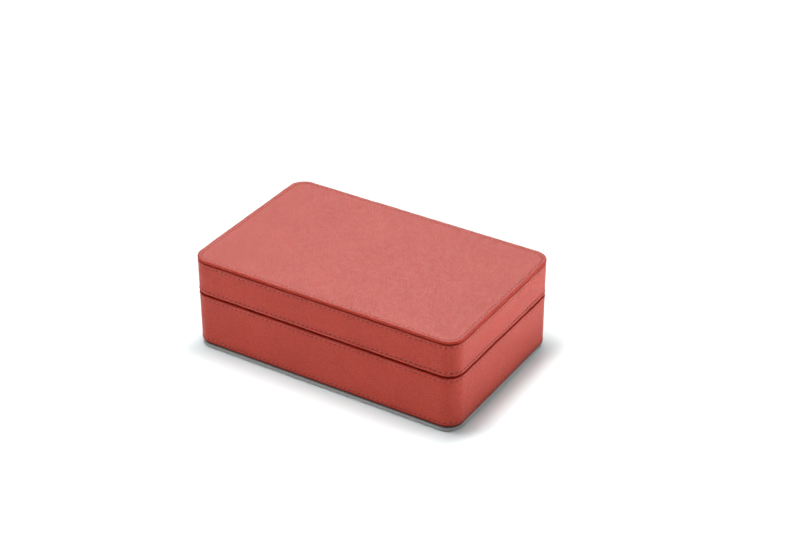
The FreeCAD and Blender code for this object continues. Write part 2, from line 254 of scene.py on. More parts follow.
def nodes_of(name):
    mat = bpy.data.materials.new(name)
    mat.use_nodes = True
    tree = mat.node_tree
    tree.nodes.clear()
    out = tree.nodes.new("ShaderNodeOutputMaterial")
    bsdf = tree.nodes.new("ShaderNodeBsdfPrincipled")
    tree.links.new(bsdf.outputs[0], out.inputs[0])
    coord = tree.nodes.new("ShaderNodeTexCoord")
    return mat, tree, bsdf, coord.outputs["Object"]


def noise(tree, vector, scale, detail=3.0, rough=0.5, distortion=0.0):
    n = tree.nodes.new("ShaderNodeTexNoise")
    n.inputs["Scale"].default_value = scale
    n.inputs["Detail"].default_value = detail
    n.inputs["Roughness"].default_value = rough
    n.inputs["Distortion"].default_value = distortion
    tree.links.new(vector, n.inputs["Vector"])
    return n.outputs["Fac"]


def voronoi(tree, vector, scale, feature="DISTANCE_TO_EDGE", randomness=1.0):
    n = tree.nodes.new("ShaderNodeTexVoronoi")
    n.feature = feature
    n.inputs["Scale"].default_value = scale
    n.inputs["Randomness"].default_value = randomness
    tree.links.new(vector, n.inputs["Vector"])
    return n


def ramp(tree, value, stops):
    n = tree.nodes.new("ShaderNodeValToRGB")
    e = n.color_ramp.elements
    while len(e) < len(stops):
        e.new(0.5)
    for i, (pos, col) in enumerate(stops):
        e[i].position = pos
        e[i].color = (*col, 1.0) if len(col) == 3 else col
    tree.links.new(value, n.inputs["Fac"])
    return n.outputs["Color"]


def span_map(tree, value, a, b, c, d):
    n = tree.nodes.new("ShaderNodeMapRange")
    n.inputs["From Min"].default_value = a
    n.inputs["From Max"].default_value = b
    n.inputs["To Min"].default_value = c
    n.inputs["To Max"].default_value = d
    tree.links.new(value, n.inputs["Value"])
    return n.outputs["Result"]


def mathn(tree, op, a, b):
    n = tree.nodes.new("ShaderNodeMath")
    n.operation = op
    for i, v in enumerate((a, b)):
        if isinstance(v, (int, float)):
            n.inputs[i].default_value = v
        else:
            tree.links.new(v, n.inputs[i])
    return n.outputs[0]


def mix(tree, factor, a, b, mode="MIX"):
    n = tree.nodes.new("ShaderNodeMix")
    n.data_type = "RGBA"
    n.blend_type = mode
    for key, v in ((0, factor), (6, a), (7, b)):
        if isinstance(v, (int, float)):
            n.inputs[key].default_value = v
        elif isinstance(v, tuple):
            n.inputs[key].default_value = (*v, 1.0)
        else:
            tree.links.new(v, n.inputs[key])
    return n.outputs[2]


def warp(tree, vector, scale, amount):
    """Moves the coordinates about a little, so cells are not regular."""
    n = tree.nodes.new("ShaderNodeTexNoise")
    n.inputs["Scale"].default_value = scale
    n.inputs["Detail"].default_value = 1.0
    tree.links.new(vector, n.inputs["Vector"])
    sub = tree.nodes.new("ShaderNodeVectorMath")
    sub.operation = "SUBTRACT"
    tree.links.new(n.outputs["Color"], sub.inputs[0])
    sub.inputs[1].default_value = (0.5, 0.5, 0.5)
    mul = tree.nodes.new("ShaderNodeVectorMath")
    mul.operation = "SCALE"
    mul.inputs["Scale"].default_value = amount
    tree.links.new(sub.outputs[0], mul.inputs[0])
    add = tree.nodes.new("ShaderNodeVectorMath")
    add.operation = "ADD"
    tree.links.new(vector, add.inputs[0])
    tree.links.new(mul.outputs[0], add.inputs[1])
    return add.outputs[0]


def stretch(tree, vector, factors):
    n = tree.nodes.new("ShaderNodeVectorMath")
    n.operation = "MULTIPLY"
    n.inputs[1].default_value = factors
    tree.links.new(vector, n.inputs[0])
    return n.outputs[0]


def bump(tree, bsdf, height, distance, strength=1.0):
    n = tree.nodes.new("ShaderNodeBump")
    n.inputs["Strength"].default_value = strength
    n.inputs["Distance"].default_value = distance
    tree.links.new(height, n.inputs["Height"])
    tree.links.new(n.outputs["Normal"], bsdf.inputs["Normal"])
    return n


def leather_material(name, light, mid, dark, rough=0.50, grain=1.0, contrast=1.0):
    mat, tree, bsdf, obj = nodes_of(name)
    squeezed = stretch(tree, obj, (1.0, 1.0, 1.35))
    moved = warp(tree, squeezed, 520.0, 0.0009)
    cells = voronoi(tree, moved, 640.0)
    pebble = span_map(tree, cells.outputs["Distance"], 0.0, 0.30, 0.0, 1.0)
    small = voronoi(tree, moved, 1500.0).outputs["Distance"]
    small = span_map(tree, small, 0.0, 0.35, 0.0, 1.0)
    pores = noise(tree, obj, 4200.0, 2.0, 0.6)
    patchy = noise(tree, obj, 260.0, 3.0, 0.55)
    height = mathn(tree, "ADD", mathn(tree, "MULTIPLY", pebble, 0.60),
                   mathn(tree, "MULTIPLY", small, 0.30))
    height = mathn(tree, "ADD", height, mathn(tree, "MULTIPLY", pores, 0.16))
    height = mathn(tree, "MULTIPLY", height, span_map(tree, patchy, 0.3, 0.7, 0.60, 1.15))
    bump(tree, bsdf, height, 0.00016 * grain)
    clouds = noise(tree, obj, 34.0, 4.0, 0.55)
    base = ramp(tree, clouds, [(0.30, mid), (0.70, light)])
    # Painted shade: the grain's hollows are darkened with the bump height.
    grain_hollow_shade = span_map(tree, height, 0.10, 0.60, 0.60 * contrast, 0.0)
    base = mix(tree, grain_hollow_shade, base, dark)
    flecks = noise(tree, squeezed, 640.0, 3.0, 0.6)
    base = mix(tree, span_map(tree, flecks, 0.40, 0.72, 0.0, 0.45 * contrast), base, light)
    # The vertex darkening takes the leather towards a deep tone: pressed and burnished leather and dark joints, and
    # painted shade in the needle holes and stitch grooves.
    press_and_shade_attr = tree.nodes.new("ShaderNodeAttribute")
    press_and_shade_attr.attribute_name = "press_and_shade"
    base = mix(tree, mathn(tree, "MULTIPLY", press_and_shade_attr.outputs["Fac"], 0.8), base,
               tuple(0.45 * v for v in dark))
    tree.links.new(base, bsdf.inputs["Base Color"])
    r = mathn(tree, "ADD", span_map(tree, patchy, 0.3, 0.7, -0.05, 0.06),
              span_map(tree, height, 0.1, 0.8, rough + 0.07, rough - 0.04))
    tree.links.new(r, bsdf.inputs["Roughness"])
    bsdf.inputs["IOR"].default_value = 1.36
    bsdf.inputs["Specular IOR Level"].default_value = 0.35
    bsdf.inputs["Sheen Weight"].default_value = 0.03
    bsdf.inputs["Sheen Roughness"].default_value = 0.40
    bsdf.inputs["Sheen Tint"].default_value = (1.0, 0.80, 0.76, 1.0)
    return mat


def paint_material(name, light, dark, rough=0.50):
    mat, tree, bsdf, obj = nodes_of(name)
    blot = noise(tree, obj, 420.0, 4.0, 0.6)
    lumps = noise(tree, obj, 1500.0, 3.0, 0.55)
    base = ramp(tree, blot, [(0.30, dark), (0.70, light)])
    # The vertex darkening takes the paint nearly to black: painted shade on the base's bottom painted edge and in
    # the groove under the top panel.
    press_and_shade_attr = tree.nodes.new("ShaderNodeAttribute")
    press_and_shade_attr.attribute_name = "press_and_shade"
    base = mix(tree, press_and_shade_attr.outputs["Fac"], base, tuple(0.12 * v for v in dark))
    tree.links.new(base, bsdf.inputs["Base Color"])
    bump(tree, bsdf, mathn(tree, "ADD", mathn(tree, "MULTIPLY", blot, 0.6),
                           mathn(tree, "MULTIPLY", lumps, 0.4)), 0.00012)
    tree.links.new(span_map(tree, lumps, 0.3, 0.7, rough - 0.06, rough + 0.10),
                   bsdf.inputs["Roughness"])
    bsdf.inputs["IOR"].default_value = 1.33
    bsdf.inputs["Specular IOR Level"].default_value = 0.12
    return mat


def thread_material(name, light, dark):
    mat, tree, bsdf, obj = nodes_of(name)
    fibre = noise(tree, obj, 9000.0, 3.0, 0.65)
    patch = noise(tree, obj, 700.0, 2.0, 0.5)
    base = ramp(tree, fibre, [(0.30, dark), (0.72, light)])
    base = mix(tree, span_map(tree, patch, 0.35, 0.65, 0.0, 0.25), base, dark)
    tree.links.new(base, bsdf.inputs["Base Color"])
    bump(tree, bsdf, fibre, 0.00006)
    tree.links.new(span_map(tree, fibre, 0.3, 0.7, 0.62, 0.48), bsdf.inputs["Roughness"])
    bsdf.inputs["Sheen Weight"].default_value = 0.15
    return mat


def suede_material(name, light, mid, dark, nap=1.0):
    mat, tree, bsdf, obj = nodes_of(name)
    brushed = noise(tree, warp(tree, obj, 60.0, 0.02), 45.0, 4.0, 0.6)
    tuft = noise(tree, obj, 1500.0, 4.0, 0.7)
    hair = noise(tree, obj, 6500.0, 3.0, 0.7)
    base = ramp(tree, brushed, [(0.30, mid), (0.70, light)])
    base = mix(tree, span_map(tree, tuft, 0.32, 0.70, 0.55, 0.0), base, dark)
    base = mix(tree, span_map(tree, hair, 0.35, 0.75, 0.0, 0.35), base, light)
    # The vertex darkening takes the suede towards a deep tone: painted shade at the top of the plinth, under the
    # leather's overhang.
    press_and_shade_attr = tree.nodes.new("ShaderNodeAttribute")
    press_and_shade_attr.attribute_name = "press_and_shade"
    base = mix(tree, press_and_shade_attr.outputs["Fac"], base, tuple(0.30 * v for v in dark))
    tree.links.new(base, bsdf.inputs["Base Color"])
    height = mathn(tree, "ADD", mathn(tree, "MULTIPLY", tuft, 0.6),
                   mathn(tree, "MULTIPLY", hair, 0.5))
    bump(tree, bsdf, height, 0.00022 * nap)
    tree.links.new(span_map(tree, brushed, 0.3, 0.7, 0.96, 0.86), bsdf.inputs["Roughness"])
    bsdf.inputs["Specular IOR Level"].default_value = 0.18
    bsdf.inputs["Sheen Weight"].default_value = 0.35
    bsdf.inputs["Sheen Roughness"].default_value = 0.45
    bsdf.inputs["Sheen Tint"].default_value = (*light, 1.0)
    return mat


def board_material(name, light, dark):
    mat, tree, bsdf, obj = nodes_of(name)
    fibre = noise(tree, obj, 700.0, 5.0, 0.7, 0.4)
    dust = noise(tree, obj, 3500.0, 3.0, 0.6)
    base = ramp(tree, fibre, [(0.30, dark), (0.72, light)])
    base = mix(tree, span_map(tree, dust, 0.4, 0.75, 0.0, 0.4), base, light)
    tree.links.new(base, bsdf.inputs["Base Color"])
    bump(tree, bsdf, dust, 0.00008)
    tree.links.new(span_map(tree, fibre, 0.3, 0.7, 0.85, 0.72), bsdf.inputs["Roughness"])
    return mat


LEATHER_LIGHT = (0.475, 0.051, 0.030)
LEATHER_MID = (0.420, 0.041, 0.023)
LEATHER_DARK = (0.275, 0.018, 0.010)
leather = leather_material("coral_leather", LEATHER_LIGHT, LEATHER_MID, LEATHER_DARK)
# The top panel gets a darker copy of the same leather, with flatter grain: painted shade standing in for the
# stronger light that falls on the top.
leather_top_painted_shade = leather_material("coral_leather_top_painted_shade", tuple(k * v for k, v in zip((0.85, 0.89, 0.89), LEATHER_LIGHT)),
                               tuple(k * v for k, v in zip((0.85, 0.89, 0.89), LEATHER_MID)), LEATHER_DARK,
                               grain=0.62, contrast=0.50)
edge_paint = paint_material("painted_edge", (0.410, 0.042, 0.026), (0.330, 0.031, 0.019))
thread = thread_material("coral_thread", (0.500, 0.085, 0.060), (0.300, 0.036, 0.024))
grey_suede = suede_material("grey_suede", (0.450, 0.436, 0.420), (0.375, 0.363, 0.350),
                            (0.180, 0.176, 0.170))
lining_suede = suede_material("suede_lining", (0.360, 0.345, 0.322), (0.300, 0.286, 0.266),
                              (0.165, 0.156, 0.144))
board = board_material("fibreboard", (0.520, 0.385, 0.245), (0.345, 0.240, 0.140))

MATERIALS = {"leather": leather, "painted_edge": edge_paint, "thread": thread,
             "grey_suede": grey_suede, "suede_lining": lining_suede, "board": board}
slots = {p["node"]: p["material_slot"] for p in frame["record"]["subparts"]}
for node, obj in frame["nodes"].items():
    obj.data.materials.clear()
    obj.data.materials.append(MATERIALS[slots[node]])


def finish_piece(obj, material, body, slot_name, *replaced):
    obj.data.materials.append(material)
    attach(obj, body)
    if replaced:
        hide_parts(*replaced)
    return obj


# ---------------------------------------------------------------- leather bands

outline = Outline(HALF_X, HALF_Y, CORNER)


def hole_distance(s, length, count, shift=0.5):
    """Distance along the row to the nearest needle hole."""
    pitch = length / count
    t = s / pitch + shift
    return (t - np.round(t)) * pitch


def stitched(s, across, length, count, deep=1.0):
    """How far the leather is pulled in round a stitch row, and how much darker it is there: painted shade in the
    needle holes, and along the groove partly pressed leather, partly painted shade; across is the distance from the
    row."""
    along = hole_distance(s, length, count)
    pitch = length / count
    groove = np.exp(-(across / 0.40) ** 2)
    tension = np.exp(-(across / 1.15) ** 2)
    hole = np.exp(-(along / 0.42) ** 2 - (across / 0.38) ** 2)
    puff = np.exp(-((np.abs(across) - 1.20) / 0.55) ** 2) * (0.7 - 0.3 * np.cos(TAU * along / pitch))
    return deep * (-0.07 * groove - 0.07 * tension - 0.34 * hole + 0.09 * puff), \
        0.62 * hole + 0.42 * groove


def graded(low, high, rows):
    """Heights from low to high, close together near the stitch rows and the edges."""
    z = [low]
    while z[-1] < high - 1e-6:
        near = min([abs(z[-1] + 0.05 - r) for r in rows])
        edge = min(z[-1] - low, high - z[-1])
        step = 0.13 if near < 0.7 else (0.22 if near < 1.3 else (0.45 if near < 2.2 else 1.7))
        if edge < 0.7:
            step = min(step, 0.14)
        elif edge < 1.2:
            step = min(step, 0.3)
        z.append(min(z[-1] + step, high))
    return np.array(z)


def band_face(name, low, high, trim_low, trim_high, rows, flare_low, flare_high):
    """The leather face of a band: it stands out a little at its edges, where it rolls over into the
    painted edge, and is pulled in along the stitch rows. It closes in a butt seam, back centre."""
    bottom, top = low + trim_low, high - trim_high
    z = graded(bottom, top, rows)
    section = [(0.0, v) for v in z] + [(-1.0, z[-1]), (-1.0, z[0])]

    def shape(s, off, height, x, y):
        face = off > -0.5
        d_low, d_high = height - bottom, top - height
        edge = np.minimum(d_low, d_high)
        roll = -0.40 * np.exp(-edge / 0.30)
        flare = flare_low * np.exp(-((d_low - 1.0) / 1.2) ** 2) \
            + flare_high * np.exp(-((d_high - 1.0) / 1.2) ** 2)
        # the stitch rows bring painted shade in their needle holes and grooves; below, the seam is a dark joint and
        # the edges are burnished darker
        pull, press_and_shade = 0.0, 0.0
        for r in rows:
            p, d = stitched(s, height - r, outline.length, STITCHES)
            pull, press_and_shade = pull + p, press_and_shade + d
        at_edge = np.exp(-edge / 1.6)
        uneven = 0.055 * broad(x, y, height * 1.5) + 0.035 * middle(x, y, height) \
            + 0.012 * fine(x, y, height) + at_edge * 0.07 * middle(x * 1.7, y * 1.7, 40 + low)
        add = roll + flare + pull + uneven
        d = np.minimum(s, outline.length - s)
        add = add - 0.42 * np.exp(-(d / 0.24) ** 2) + 0.05 * np.exp(-((d - 0.9) / 0.5) ** 2)
        press_and_shade = press_and_shade + 0.9 * np.exp(-(d / 0.22) ** 2) + 0.55 * np.exp(-edge / 0.22)
        return np.where(face, off + add, off), height, np.where(face, press_and_shade, 0.0)
    return joined(name, [swept(outline, COLS, section, shape)])


def bead(low_z, high_z, up, flare, wobble_seed, dark=0.0):
    """The painted edge of a band: leather and backing together, rounded over. With dark above nought the paint is
    darkened towards its far side: painted shade, used on the base's bottom edge under the overhang."""
    h = high_z - low_z
    prof = [(-0.02, 0.0), (0.03, 0.30), (-0.02, 0.55), (-0.14, 0.78), (-0.34, 0.93), (-0.62, 1.0),
            (-1.05, 1.0), (-1.34, 0.92), (-1.52, 0.74), (-1.60, 0.45), (-1.60, 0.0)]
    lean = [flare * max(0.0, 1.0 + o / 0.8) for o, v in prof]
    if up:
        section = [(o - 0.10 + t, low_z + v * h) for (o, v), t in zip(prof, lean)]
    else:
        section = [(o - 0.10 + t, high_z - v * h) for (o, v), t in zip(prof, lean)][::-1]
    field = waves(wobble_seed, 8, 3.0, 14.0)

    def shape(s, off, height, x, y):
        outer = off > -1.2
        wob = 0.035 * field(x, y, 0 * x) + 0.055 * broad(x, y, (low_z + 0 * x) * 1.5) \
            + 0.07 * middle(x * 1.7, y * 1.7, 40 + low_z + 0 * x)
        depth = (height - low_z if up else high_z - height) / h
        return off + wob * outer, height + 0.022 * field(y, x, 0 * x) * outer, \
            dark * np.clip((depth - 0.14) / 0.25, 0.0, 1.0)
    return swept(outline, COLS // 2, section, shape)


def band(prefix, lo, hi, rows, beads, flares, seeds, body, bottom_edge_shade=0.0):
    low, high = lo[2], hi[2]
    face = band_face(prefix + "_leather_face", low, high, beads[0] - 0.20, beads[1] - 0.20, rows,
                     flares[0], flares[1])
    finish_piece(face, leather, body, "leather", prefix + "_band_leather")
    edges = joined(prefix + "_painted_edges",
                   [bead(low, low + beads[0], False, flares[0] * 0.7, seeds[0], bottom_edge_shade),
                    bead(high - beads[1], high, True, flares[1] * 0.7, seeds[1])])
    finish_piece(edges, edge_paint, body, "painted_edge", prefix + "_band_backing")


lid_rows = [row_height("lid_lower_thread"), row_height("lid_upper_thread")]
base_rows = [row_height("base_lower_thread"), row_height("base_upper_thread")]
band("lid", lid_lo, lid_hi, lid_rows, (0.46, 0.50), (0.26, 0.10), (21, 22), "lid")
# 0.97: painted shade on the base's bottom painted edge
band("base", base_lo, base_hi, base_rows, (1.40, 0.46), (0.20, 0.26), (23, 24), "base", 0.97)

# ---------------------------------------------------------------- stitches

AROUND, ALONG = 9, 12


def stitch_shape(length, radius, slant, lift):
    """One stitch: a short two-ply thread that rises out of one hole and dives into the next.
    Columns: along the row, across the row, out of the surface."""
    t = np.linspace(-1, 1, ALONG + 1)
    pts = []
    for v in t:
        along = v * length / 2
        out = lift - (lift + 0.34) * abs(v) ** 3.2
        thin = 1.0 - 0.28 * abs(v) ** 4
        ring_pts = []
        for k in range(AROUND):
            a = TAU * k / AROUND
            lobe = 1.0 + 0.13 * math.cos(2 * (a + 3.3 * v))
            r = radius * thin * lobe
            ring_pts.append((along, slant * v + r * math.cos(a), out + 0.86 * r * math.sin(a)))
        pts.append(ring_pts)
    return np.array(pts)


def stitch_row(name, path, count, place, seed, thick=0.255, slant=0.16, flip=1.0):
    """place(s, across, out) gives the point; every stitch is a little different."""
    rng = np.random.RandomState(seed)
    pitch = path / count
    verts, faces, n = [], [], 0
    side = quads(ALONG + 1, AROUND, False, True)
    if flip < 0:
        side = side[:, ::-1]
    for i in range(count):
        centre = (i + 0.0) * pitch + rng.normal(0, 0.03)
        g = stitch_shape(pitch - 0.50 + rng.normal(0, 0.05), thick + rng.normal(0, 0.008),
                         slant + rng.normal(0, 0.03), 0.02 + rng.normal(0, 0.02))
        p = place(centre + g[..., 0], g[..., 1] + rng.normal(0, 0.02), g[..., 2])
        v = np.stack(p, -1).reshape(-1, 3)
        verts.append(v)
        faces.append(side + n)
        first = np.array([[n + k for k in range(AROUND)][::-1]])
        last = n + ALONG * AROUND
        final = np.array([[last + k for k in range(AROUND)]])
        if flip < 0:
            first, final = first[:, ::-1], final[:, ::-1]
        faces += [first, final]
        n += len(v)
    return new_mesh(name, np.concatenate(verts), faces)


def on_band(height):
    def place(s, across, out):
        x, y, nx, ny = outline.at(s)
        return x + nx * (out - 0.13), y + ny * (out - 0.13), height + across
    return place


for label, body, seed in (("lid_lower", "lid", 31), ("lid_upper", "lid", 32),
                          ("base_lower", "base", 33), ("base_upper", "base", 34)):
    node = label + "_thread"
    row = stitch_row(label + "_stitches", outline.length, STITCHES, on_band(row_height(node)), seed)
    finish_piece(row, thread, body, "thread", node)

# ---------------------------------------------------------------- top panel

panel = Outline(top_hi[0], top_hi[1], CORNER + 0.1)
TOP_Z = top_hi[2]
PANEL_LOW = topback_lo[2]
t_lo, t_hi = span("lid_top_thread")
ROW_INSET = top_hi[0] - t_hi[0] + 0.35
ROW_PATH = panel.length - TAU * ROW_INSET


def panel_top(s_panel, inset, x, y):
    """Height of the top leather, with s measured along the panel's edge."""
    pull, press_and_shade = stitched(s_panel * ROW_PATH / panel.length, inset - ROW_INSET, ROW_PATH, STITCHES, 0.65)
    roll = -0.42 * np.exp(-(inset - 0.22) / 0.30)
    swell = 0.05 * np.exp(-((inset - 1.0) / 0.8) ** 2)
    uneven = 0.055 * broad(x, y, 0 * x) + 0.030 * middle(x, y, 0 * x + 5) + 0.008 * fine(x, y, 0 * x)
    # painted shade in the needle holes of the row, and the leather burnished darker where it rolls over the edge
    press_and_shade = press_and_shade * 0.50 + 0.35 * np.exp(-(inset - 0.22) / 0.22)
    return TOP_Z - 0.11 + pull + roll + swell + uneven, press_and_shade


def top_panel():
    s = np.arange(COLS) * panel.length / COLS
    x0, y0, nx, ny = panel.at(s)
    insets = [0.22]
    while insets[-1] < 9.0:
        v = insets[-1]
        near = abs(v + 0.05 - ROW_INSET)
        step = 0.13 if near < 0.7 else (0.22 if near < 1.3 else 0.5)
        if v < 0.8:
            step = 0.14
        if v > ROW_INSET + 2.0:
            step = 1.4
        insets.append(v + step)
    rings, dark = [], []
    for v in insets:
        x, y = x0 - nx * v, y0 - ny * v
        z, press_and_shade = panel_top(s, v, x, y)
        rings.append(np.stack([x, y, z], -1))
        dark.append(press_and_shade)
    last = rings[-1]
    for k in np.linspace(0.95, 0.05, 19):
        x, y = last[:, 0] * k, last[:, 1] * k
        z, press_and_shade = panel_top(s, 20.0, x, y)
        rings.append(np.stack([x, y, z], -1))
        dark.append(press_and_shade)
    grid = np.stack(rings, 0)
    # down the side and in under the panel
    x, y = x0 - nx * 0.22, y0 - ny * 0.22
    under = np.stack([x, y, np.full(COLS, PANEL_LOW + 0.1)], -1)
    flat = [np.stack([x * k, y * k, np.full(COLS, PANEL_LOW + 0.1)], -1) for k in (0.7, 0.3, 0.05)]
    rows = np.concatenate([np.stack(flat[::-1] + [under], 0), grid], 0)
    dark = np.concatenate([np.zeros((4, COLS)), np.stack(dark, 0)], 0)
    n_rows = rows.shape[0]
    verts = rows.reshape(-1, 3)
    faces = [quads(n_rows, COLS, False, True)]
    centre_low = len(verts)
    centre_top = centre_low + 1
    verts = np.concatenate([verts, [[0, 0, PANEL_LOW + 0.1],
                                    [0, 0, float(grid[-1, :, 2].mean())]]])
    c = np.arange(COLS)
    faces.append(np.stack([np.full(COLS, centre_low), (c + 1) % COLS, c], -1))
    top = (n_rows - 1) * COLS
    faces.append(np.stack([np.full(COLS, centre_top), top + c, top + (c + 1) % COLS], -1))
    return new_mesh("lid_top_face", verts, faces, press_and_shade=np.concatenate([dark.ravel(), [0, 0]]))


finish_piece(top_panel(), leather_top_painted_shade, "lid", "leather", "lid_top_leather")


def panel_edge():
    """Painted edge of the top panel, with the lip that closes the groove below it."""
    z0, h = PANEL_LOW, TOP_Z - PANEL_LOW
    low = lid_hi[2] + 0.02
    prof = [(-1.66, low), (-1.30, low), (-1.24, z0 - 0.08), (-1.10, z0 + 0.02), (-0.35, z0 + 0.0),
            (-0.12, z0 + 0.05 * h), (0.0, z0 + 0.16 * h), (0.05, z0 + 0.36 * h), (0.06, z0 + 0.56 * h),
            (0.02, z0 + 0.74 * h), (-0.07, z0 + 0.86 * h), (-0.20, z0 + 0.93 * h),
            (-0.36, z0 + 0.95 * h), (-0.55, z0 + 0.92 * h), (-0.95, z0 + 0.80 * h), (-1.66, z0 + 0.5 * h)]
    field = waves(25, 8, 3.0, 14.0)

    # The lowest part of the profile, the lip in the groove below the panel, is darkened: painted shade.
    def shape(s, off, height, x, y):
        return off + 0.04 * field(x, y, 0 * x) * (off > -0.3), \
            height + 0.02 * field(y, x, 0 * x) * (off > -0.6) * (height > z0 + 0.1), \
            0.9 * (height < z0 + 0.12 * h)
    return joined("lid_top_painted_edge", [swept(panel, COLS // 2, prof, shape)])


finish_piece(panel_edge(), edge_paint, "lid", "painted_edge", "lid_top_backing")


def on_top(s, across, out):
    x, y, nx, ny = panel.at(s * panel.length / ROW_PATH)
    inset = ROW_INSET - across
    return x - nx * inset, y - ny * inset, TOP_Z - 0.20 + out


finish_piece(stitch_row("lid_top_stitches", ROW_PATH, STITCHES, on_top, 35, thick=0.235, flip=-1.0),
             thread, "lid", "thread", "lid_top_thread")

# ---------------------------------------------------------------- suede plate under the base


def plinth():
    half_x, half_y, high = plinth_hi[0], plinth_hi[1], plinth_hi[2]
    path = Outline(half_x, half_y, CORNER - 0.7)
    cols = 720
    s = np.arange(cols) * path.length / cols
    x0, y0, nx, ny = path.at(s)
    field = waves(41, 9, 2.5, 9.0)
    prof = [(0.60, high), (0.0, high), (0.0, high - 0.5), (0.0, high - 0.85), (-0.02, high - 1.25),
            (-0.03, high * 0.52), (-0.04, high * 0.38),
            (-0.02, 0.75), (0.05, 0.42), (0.18, 0.18), (0.36, 0.05), (0.60, 0.0), (4.0, 0.0)]
    rings = []
    for inset, z in prof:
        wob = 0.045 * field(x0, y0, 0 * x0 + z * 3) * (0.15 < z < high - 0.1)
        v = inset - wob
        rings.append(np.stack([x0 - nx * v, y0 - ny * v, np.full(cols, z)], -1))
    last = rings[-1]
    for k in (0.6, 0.25, 0.05):
        rings.append(np.stack([last[:, 0] * k, last[:, 1] * k, np.zeros(cols)], -1))
    first = rings[0]
    tops = [np.stack([first[:, 0] * k, first[:, 1] * k, np.full(cols, high)], -1)
            for k in (0.05, 0.5, 0.95)]
    rows = np.stack(tops + rings, 0)[::-1]
    n_rows = rows.shape[0]
    verts = rows.reshape(-1, 3)
    faces = [quads(n_rows, cols, False, True)]
    low, top = len(verts), len(verts) + 1
    verts = np.concatenate([verts, [[0, 0, 0], [0, 0, high]]])
    c = np.arange(cols)
    faces.append(np.stack([np.full(cols, low), (c + 1) % cols, c], -1))
    t = (n_rows - 1) * cols
    faces.append(np.stack([np.full(cols, top), t + c, t + (c + 1) % cols], -1))
    # painted shade under the leather's overhang: the top of the plinth is darkened in the joint
    press_and_shade = 0.9 * np.clip((verts[:, 2] - (high - 1.30)) / 0.40, 0.0, 1.0)
    return new_mesh("plinth_suede_cover", verts, faces, press_and_shade=press_and_shade)


finish_piece(plinth(), grey_suede, "base", "grey_suede", "plinth_suede", "plinth_board")

# ---------------------------------------------------------------- rims, where lid and base meet


def rim_strip(name, node, inner_x, inner_y, up, seed):
    """Flat leather frame on a rim: rounded outside, square inside, crowned across its width and
    mitred at the corners. Its show face is at `face`, up or down."""
    lo, hi = span(node)
    out_x, out_y = hi[0], hi[1]
    outer = Outline(out_x, out_y, CORNER - BAND)
    face, under = (hi[2], lo[2]) if up else (lo[2], hi[2])
    sense = 1.0 if up else -1.0
    # corner middles of the outside, and the inside corners they run to
    sx, q = out_x - outer.r, math.pi * outer.r / 4
    marks = [outer.parts[0] + q]
    for k in (2, 4, 6):
        marks.append(sum(outer.parts[:k + 1]) + q)
    inner = [(-inner_x, inner_y), (-inner_x, -inner_y), (inner_x, -inner_y), (inner_x, inner_y)]
    per_side = 150
    us, outer_s, ix, iy = [], [], [], []
    for k in range(4):
        s0, s1 = marks[k], marks[(k + 1) % 4] + (outer.length if k == 3 else 0.0)
        f = np.arange(per_side) / per_side
        f = 0.5 - 0.5 * np.cos(np.pi * f) * (1.0 - 0.35 * np.sin(np.pi * f) ** 2)
        outer_s.append(s0 + (s1 - s0) * f)
        a, b = np.array(inner[k]), np.array(inner[(k + 1) % 4])
        ix.append(a[0] + (b[0] - a[0]) * f)
        iy.append(a[1] + (b[1] - a[1]) * f)
        us.append(np.minimum(f, 1 - f) * (s1 - s0))
    outer_s, ix, iy, us = [np.concatenate(v) for v in (outer_s, ix, iy, us)]
    ox, oy, _, _ = outer.at(outer_s)
    cols = len(ox)
    width = out_x - inner_x
    t = np.array([0.0, 0.012, 0.03, 0.055, 0.09, 0.15, 0.25, 0.38, 0.5, 0.62, 0.75, 0.85, 0.91,
                  0.945, 0.97, 0.988, 1.0])
    field = waves(seed, 9, 4.0, 18.0)
    rows = []
    for v in t:
        x, y = ox + (ix - ox) * v, oy + (iy - oy) * v
        d = min(v, 1 - v) * width
        roll = -0.30 * math.exp(-d / 0.22)
        crown = -0.10 * (2 * v - 1) ** 2
        mitre = -0.24 * np.exp(-(us / 0.30) ** 2) + 0.03 * np.exp(-((us - 1.0) / 0.5) ** 2)
        z = face + sense * (-0.05 + roll + crown + mitre + 0.035 * (field(x, y, 0 * x) - 1.0))
        rows.append(np.stack([x, y, z], -1))
    for v in (1.0, 0.5, 0.0):
        rows.append(np.stack([ox + (ix - ox) * v, oy + (iy - oy) * v, np.full(cols, under)], -1))
    grid = np.stack(rows, 0)
    press_and_shade = np.zeros(grid.shape[:2])
    press_and_shade[:len(t)] = 0.8 * np.exp(-(us / 0.28) ** 2)[None, :]
    press_and_shade[:len(t)] += (0.5 * np.exp(-np.minimum(t, 1 - t) * width / 0.2))[:, None]
    faces = quads(grid.shape[0], cols, True, True)
    if not up:
        faces = faces[:, ::-1]
    return new_mesh(name, grid.reshape(-1, 3), [faces], press_and_shade=press_and_shade)


c_lo, c_hi = span("collar_front_suede")
l_lo, l_hi = span("lid_side_lining")
LINING = span("lid_ceiling_lining")[1][2] - span("lid_ceiling_lining")[0][2]
finish_piece(rim_strip("base_rim_strip", "base_rim_leather", c_hi[0], span("collar_back_suede")[1][1], True, 61),
             leather, "base", "leather", "base_rim_leather")
finish_piece(rim_strip("lid_rim_strip", "lid_rim_leather", l_hi[0] - LINING, l_hi[1] - LINING, False, 62),
             leather, "lid", "leather", "lid_rim_leather")

# ---------------------------------------------------------------- collar, suede covered

for number, side in enumerate(("front", "back", "left", "right")):
    lo, hi = span("collar_%s_suede" % side)
    piece = soft_box("collar_%s_cover" % side, lo, hi, 0.80, 1.6, amount=0.035, seed=70 + number)
    finish_piece(piece, lining_suede, "base", "suede_lining",
                 "collar_%s_suede" % side, "collar_%s_strip" % side)

# ---------------------------------------------------------------- dividers with finger notches


